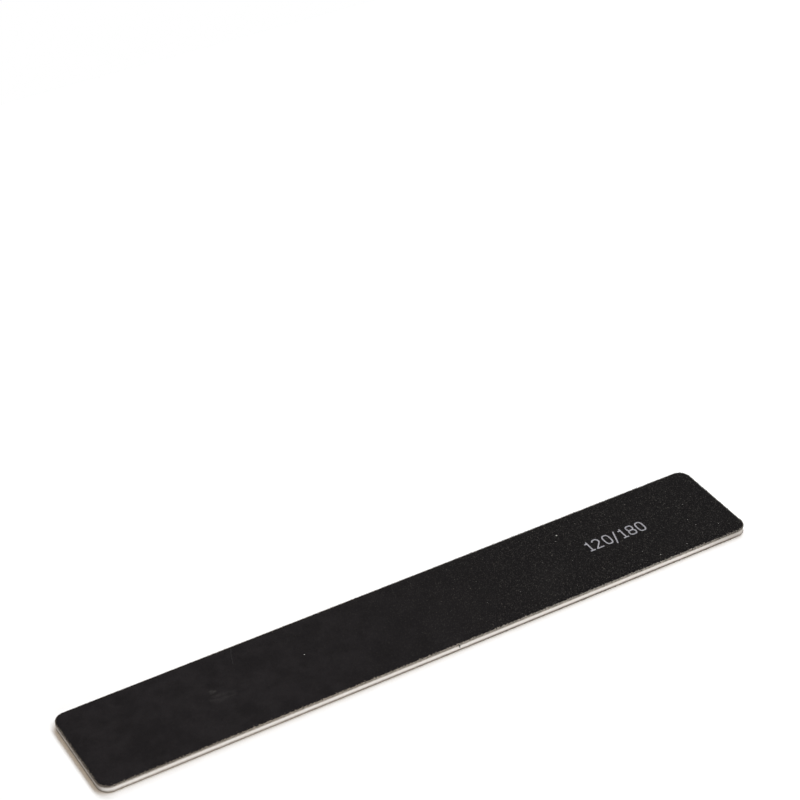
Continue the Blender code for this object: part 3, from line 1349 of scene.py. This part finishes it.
@dataclass(frozen=True)
class Studio:
    """The white table, the soft lamps, the sky and the camera."""

    camera_place: Point = (-222.46 * MM, -390.33 * MM, 381.67 * MM)
    camera_aim: Point = (42.921 * MM, 80.236 * MM, 2.12 * MM)
    camera_roll: float = -1.6659
    focal_pixels: float = 2437.85
    sensor_width: float = 36.0
    table_side: float = 0.6
    window_inset: float = 0.3 * MM
    table_colour: Colour = (0.86, 0.86, 0.86)
    table_seen: Colour = (0.835, 0.895, 0.955)
    table_glow: Colour = (0.195, 0.13, 0.065)
    sky_colour: Colour = (1.0, 1.0, 1.0)
    sky_level: float = 0.17
    lamps: tuple[SoftBox, ...] = (
        SoftBox("key_box", (590 * MM, 330 * MM, 1250 * MM), 2800 * MM, 500 * MM, 29.5),
        SoftBox("front_box", (0 * MM, -1300 * MM, 340 * MM), 600 * MM, 1700 * MM, 7.5, upright=False),
        SoftBox("under_box", (-250 * MM, -300 * MM, -850 * MM), 600 * MM, 600 * MM, 8.5),
    )

    def build_table(self, outline: BoardOutline) -> None:
        """A plain white table that keeps the board's shadow.

        Args:
            outline: The outline of the board that lies on it.
        """
        shape = bmesh.new()
        bmesh.ops.create_grid(shape, x_segments=1, y_segments=1, size=self.table_side / 2)
        table = bpy.data.objects.new("table", mesh_from(shape, "table"))
        bpy.context.scene.collection.objects.link(table)
        table.data.materials.append(self._table_finish(outline))

    def _table_finish(self, outline: BoardOutline) -> Material:
        """White, a little brighter to the eye than it lights the board, and clear from below.

        Args:
            outline: The board's outline. The table is clear under it, so that light from below
                reaches the board's underside.

        Returns:
            The finish.
        """
        tree = FinishTree("white_table")
        white = tree.node("ShaderNodeBsdfDiffuse", sockets={"Color": self.table_colour})
        shown = tree.node("ShaderNodeBsdfDiffuse", sockets={"Color": self.table_seen})
        glow = tree.node("ShaderNodeEmission", sockets={"Color": self.table_glow, "Strength": 1.0})
        bright = tree.node("ShaderNodeAddShader", sockets={0: shown, 1: glow})
        top = tree.node("ShaderNodeMixShader", sockets={0: self._seen(tree), 1: white, 2: bright})
        radius = outline.corner_radius
        past_x = (tree.along("X").magnitude() - (outline.half_length - radius)).at_least(0.0)
        past_y = (tree.along("Y").magnitude() - (outline.half_width - radius)).at_least(0.0)
        reach = (past_x * past_x + past_y * past_y) ** 0.5
        covered = reach.rise(radius - self.window_inset, radius - 1.1 * self.window_inset)
        below = tree.node("ShaderNodeNewGeometry", output="Backfacing")
        clear = tree.node("ShaderNodeBsdfTransparent")
        hidden = below.at_least(covered)
        return tree.end(tree.node("ShaderNodeMixShader", sockets={0: hidden, 1: top, 2: clear}))

    @staticmethod
    def _seen(tree: FinishTree) -> Signal:
        """1 for rays of the eye, of gloss and through glass.

        Args:
            tree: The tree of the table or of the sky.

        Returns:
            A value of 0 or 1.
        """
        kinds = ("Is Camera Ray", "Is Glossy Ray", "Is Transmission Ray")
        eye, gloss, glass = (tree.node("ShaderNodeLightPath", output=kind) for kind in kinds)
        return eye.at_least(gloss).at_least(glass)

    def build_sky(self) -> None:
        """A white sky that lights the board less than it shows."""
        world = bpy.data.worlds.new("studio")
        bpy.context.scene.world = world
        tree = FinishTree("studio", world)
        sockets = ({"Color": self.sky_colour, "Strength": level} for level in (self.sky_level, 1.0))
        dim, white = (tree.node("ShaderNodeBackground", sockets=chosen) for chosen in sockets)
        shader = tree.node("ShaderNodeMixShader", sockets={0: self._seen(tree), 1: dim, 2: white})
        tree.end(shader, "ShaderNodeOutputWorld")

    def build_camera(self) -> None:
        """The camera at the photograph's place, for a picture of PICTURE_SIDE pixels a side."""
        lens = bpy.data.cameras.new("camera")
        lens.sensor_width = self.sensor_width
        lens.lens = self.focal_pixels / PICTURE_SIDE * self.sensor_width
        camera = bpy.data.objects.new("camera", lens)
        look = Vector(self.camera_aim) - Vector(self.camera_place)
        level = look.to_track_quat("-Z", "Y").to_matrix()
        roll = Matrix.Rotation(math.radians(self.camera_roll), 3, "Z")
        camera.rotation_euler = (level @ roll).to_euler()
        camera.location = self.camera_place
        bpy.context.scene.collection.objects.link(camera)
        bpy.context.scene.camera = camera


@dataclass(frozen=True)
class BoardHalf:
    """What lies on one side of the core, and what the die, the grit and use have done to it."""

    level: str
    side: Side
    number: int
    roll: float
    torn: bool
    soot_between: Span
    stain_between: Span
    rubbed: float
    right_end_darkening: float
    fibres: int
    fibre_length: float
    fibre_seed: int
    grit: GritFinish
    sunk: float
    roughness: float
    clump: float
    coat_seed: int
    grains: int
    grain_size: float
    grain_shapes: tuple[GrainShape, ...]
    grain_reach: float


LOWER = BoardHalf(
    level="lower",
    side=Side.FINE,
    number=0,
    roll=0.15 * MM,
    torn=False,
    soot_between=(0.68 * MM, 0.42 * MM),
    stain_between=(0.48 * MM, 0.37 * MM),
    rubbed=0.5,
    right_end_darkening=0.0,
    fibres=260,
    fibre_length=0.12 * MM,
    fibre_seed=52,
    grit=GritFinish("fine_black_grit", 0.1 * MM, 0.07, rubbed=0.7),
    sunk=0.03 * MM,
    roughness=0.010 * MM,
    clump=0.008 * MM,
    coat_seed=71,
    grains=32000,
    grain_size=0.085 * MM,
    grain_shapes=(GrainShape.SHARD,),
    grain_reach=0.0,
)
UPPER = BoardHalf(
    level="upper",
    side=Side.COARSE,
    number=1,
    roll=-0.25 * MM,
    torn=True,
    soot_between=(1.42 * MM, 1.72 * MM),
    stain_between=(1.73 * MM, 1.87 * MM),
    rubbed=0.0,
    right_end_darkening=0.5,
    fibres=900,
    fibre_length=0.22 * MM,
    fibre_seed=51,
    grit=GritFinish("coarse_black_grit", 0.16 * MM, 0.10, smudges=SMUDGES),
    sunk=0.05 * MM,
    roughness=0.016 * MM,
    clump=0.012 * MM,
    coat_seed=61,
    grains=24000,
    grain_size=0.13 * MM,
    grain_shapes=(GrainShape.SHARD, GrainShape.BLOCK, GrainShape.SHARD),
    grain_reach=0.04 * MM,
)


@dataclass(frozen=True)
class NailFile:
    """The whole board, whose methods build and dress its pieces from the core out."""

    outline: BoardOutline
    signs: tuple[str, ...] = (
        "coarse_one",
        "coarse_two",
        "coarse_zero",
        "slash",
        "fine_one",
        "fine_eight",
        "fine_zero",
    )

    def build_core(self) -> None:
        """Builds the stiff strip in the middle."""
        wear = Dressing(PlasticFinish("cream_core"), "core_plastic", "core_strip")
        scores = CutEdge(CutLook.SCORES, 0.11 * MM, 4, 0.014 * MM, 5)
        Sheet("core_strip_cut", wear, self.outline, scores).make()

    def build_cushion(self, half: BoardHalf) -> None:
        """Builds a foam cushion and the films of adhesive on its two faces.

        Args:
            half: The half of the board that it lies in.
        """
        foam = FoamFinish(f"{half.level}_cream_foam", half.soot_between)
        wear = Dressing(foam, "cushion_foam", f"{half.level}_foam_cushion")
        cells = CutEdge(CutLook.CELLS, 0.1 * MM, 4, 0.05 * MM, 7 + half.number)
        rolls = max(half.roll, 0.0), min(half.roll, 0.0)
        cushion = Sheet(f"{half.level}_foam_cells", wear, self.outline, cells, *rolls)
        cushion.make()
        glue = GlueFinish("crept_glue")
        bead = CutEdge(CutLook.BEAD, 0.4 * MM, 2, 0.03 * MM, 11 + half.number)
        for film, roll in ((f"{half.level}_core_adhesive", 0.0), (f"{half.level}_paper_adhesive", half.roll)):
            wear = Dressing(glue, "adhesive_film", film, smooth=True)
            Sheet(f"{film}_bead", wear, self.outline, bead, roll, roll).make()

    def build_paper(self, half: BoardHalf) -> None:
        """Builds a backing paper and the fibres that stand out of its cut.

        Args:
            half: The half of the board that it lies in.
        """
        kraft = PaperFinish(f"{half.level}_kraft", half.stain_between, half.rubbed, half.right_end_darkening)
        wear = Dressing(kraft, "backing_paper", f"{half.level}_backing_paper")
        edge = CutEdge(CutLook.FIBRES, 0.12 * MM, 3, 0.03 * MM, 13)
        roll = half.roll
        Sheet(f"{half.level}_paper_cut", wear, self.outline, edge, roll, roll, half.torn).make()
        lowest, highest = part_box(wear.node)
        low = lowest.z + max(roll, 0.0)
        fluff = FluffFinish(f"{half.level}_fray", (0.34, 0.30, 0.26), (0.07, 0.06, 0.05))
        PaperFray(
            f"{half.level}_paper_fray",
            Dressing(fluff, "backing_paper"),
            self.outline,
            count=half.fibres,
            length=half.fibre_length,
            low=low,
            high=low + highest.z - lowest.z - abs(roll),
            seed=half.fibre_seed,
        ).make()

    def build_coat(self, half: BoardHalf) -> None:
        """Builds the coat of grit on one face, with its single grains.

        Args:
            half: The half of the board that it covers.
        """
        name = half.side.name.lower()
        coat = GritCoat(
            f"{name}_grit_face",
            Dressing(half.grit, f"{name}_grit", f"{half.level}_grit_coat"),
            self.outline,
            CutEdge(CutLook.CHIPS, 0.24 * MM, 2, 0.05 * MM, 15),
            half.roll,
            half.roll,
            half.torn,
            side=half.side,
            sunk=half.sunk,
            roughness=half.roughness,
            clump=half.clump,
            seed=half.coat_seed,
        )
        tones = (0.003, 0.0029, 0.0030), (0.12, 0.115, 0.105)
        GrainLayer(
            f"{name}_grains",
            Dressing(CrystalFinish("black_crystals", *tones, CLOGGED_RESIN, 0.3), coat.wear.slot),
            self.outline,
            coat.make().data,
            half.side,
            half.grain_shapes,
            half.grains,
            half.grain_size,
            limit=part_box(coat.wear.node)[half.number].z + half.grain_reach,
            seed=half.coat_seed + 5,
        ).make()

    def build_crumbs(self, lip: float) -> None:
        """Builds the crumbs that the die has dragged over both edges.

        Args:
            lip: The height of the coarse coat's edge.
        """
        tones = (0.012, 0.010, 0.009), (0.12, 0.10, 0.08)
        black = Dressing(CrystalFinish("resin_crumbs", *tones, (0.03, 0.025, 0.02), 0.5), "coarse_grit")
        dusty = Dressing(CrystalFinish("dusty_crumbs", *tones, (0.26, 0.23, 0.19), 0.5), "fine_grit")
        for name, wear, height, reach, count, seed in (
            ("upper_lip_crumbs", black, lip, -0.42 * MM, 4200, 4281),
            ("lower_lip_crumbs", dusty, LOWER.roll, 0.2 * MM, 2600, 2681),
        ):
            LipGrains(name, wear, self.outline, count, height, reach, seed).make()

    def build_print(self, top: float) -> None:
        """Builds the printed grades on the coarse face.

        Args:
            top: The height of that face.
        """
        ink = InkFinish("grey_ink")
        for sign in self.signs:
            PrintedMark(f"ink_{sign}", Dressing(ink, "printed_ink", f"print_{sign}"), top).make()

    def build_marks(self, top: float, lip: float) -> None:
        """Builds what handling has left on the board.

        Args:
            top: The height of the coarse face.
            lip: The height of its edge.
        """
        marks = HandlingMarks(face=top - 0.02 * MM, lip=lip)
        dust = FluffFinish("pale_dust", (0.75, 0.74, 0.70), (0.45, 0.44, 0.41))
        lint = FluffFinish("grey_lint", (0.12, 0.12, 0.12), (0.06, 0.06, 0.06))
        shred = FluffFinish("black_shred", (0.016, 0.014, 0.010), (0.006, 0.0055, 0.004))
        Dressing(dust, "coarse_grit").put_on(marks.build_specks())
        Dressing(lint, "coarse_grit", smooth=True).put_on(marks.build_hair())
        Dressing(shred, "backing_paper").put_on(marks.build_spur())


def board_outline() -> BoardOutline:
    """Reads the board's length, width and corner radius from its core."""
    points = points_of(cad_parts["core_strip"].data)
    half_length, half_width = points[:, 0].max(), points[:, 1].max()
    long_side = points[:, 1] > half_width - ON_RIM
    return BoardOutline(half_length, half_width, corner_radius=half_length - points[long_side, 0].max())


def main() -> None:
    """Builds the board from the core out, then the studio."""
    logging.basicConfig(level=logging.INFO, format="%(name)s %(message)s")
    bpy.context.scene.view_settings.view_transform = "Standard"
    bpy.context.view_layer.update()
    outline = board_outline()
    board = NailFile(outline)
    board.build_core()
    for half in (LOWER, UPPER):
        board.build_cushion(half)
    for half in (UPPER, LOWER):
        board.build_paper(half)
    for half in (UPPER, LOWER):
        board.build_coat(half)
    lowest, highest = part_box("upper_grit_coat")
    lip = lowest.z + LIP_HEIGHT
    board.build_crumbs(lip)
    board.build_print(highest.z)
    board.build_marks(highest.z, lip)
    studio = Studio()
    studio.build_table(outline)
    studio.build_sky()
    for lamp in studio.lamps:
        lamp.build()
    studio.build_camera()


if __name__ == "__main__":
    main()
